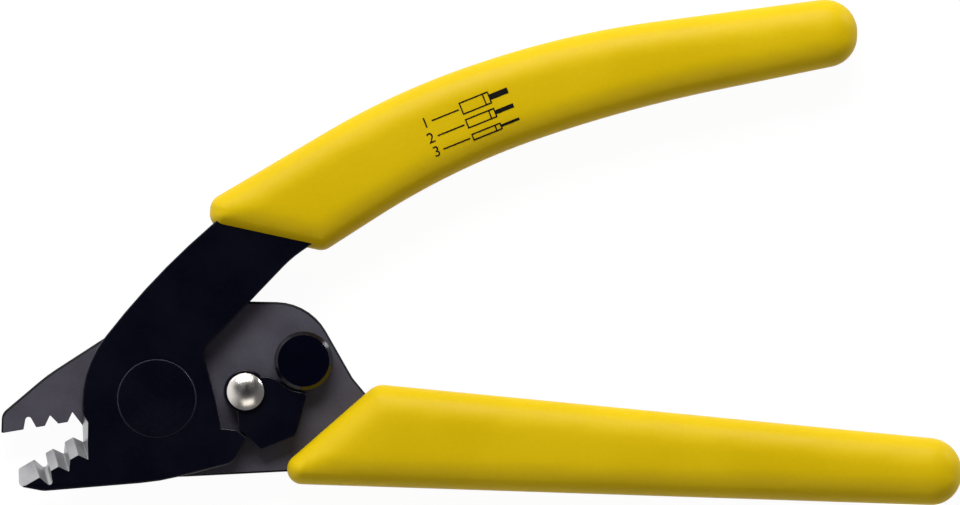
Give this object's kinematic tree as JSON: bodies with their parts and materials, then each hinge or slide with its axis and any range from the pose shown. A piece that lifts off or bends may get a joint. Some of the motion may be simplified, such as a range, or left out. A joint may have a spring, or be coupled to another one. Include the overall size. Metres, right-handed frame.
{
  "type": "fibre stripper",
  "caption": "Hand tool with two crossed steel levers, notched jaws that strip optical fibre, sprung yellow handles, a stop stud and a swing latch that locks it shut.",
  "frame": {"origin": "centre of the pivot hub's front face, on the hinge axis", "axes": "+X along the tool from the jaws to the handles, +Y from the lower handle to the upper one, +Z out of the hub's front face; the tool lies on its back"},
  "size_m": [0.1656, 0.0872, 0.0104],
  "materials": {
    "black_steel": "gloss black oxide",
    "grey_steel": "grey phosphate, satin",
    "yellow_vinyl": "satin moulded vinyl",
    "nickel": "bright nickel",
    "spring_steel": "drawn wire"
  },
  "bodies": {
    "rear_lever": {"rear_plate": "grey_steel", "rear_grip": "yellow_vinyl", "pivot_hub": "black_steel", "pivot_cap": "black_steel", "return_spring": "spring_steel", "stop_stud": "black_steel", "latch_washer": "nickel", "latch_rivet": "nickel"},
    "front_lever": {"front_plate": "black_steel", "front_grip": "yellow_vinyl"},
    "latch": {"latch": "black_steel"}
  },
  "joints": [
    {"name": "jaw_hinge", "type": "hinge", "parent": "rear_lever", "child": "front_lever", "pos_m": [0, 0, -0.0016], "axis": [0, 0, -1], "range_deg": [0, 20.4], "stiffness_Nm_per_rad": 0.8, "springref_deg": -8.59, "deforming": ["return_spring"]},
    {"name": "latch_swing", "type": "hinge", "parent": "rear_lever", "child": "latch", "pos_m": [0.0153, 0.0012, -0.0015], "axis": [0, 0, -1], "range_deg": [0, 40]}
  ],
  "couplings": [
    {"joint": "latch_swing", "follows": "jaw_hinge", "ratio": 1.96}
  ]
}
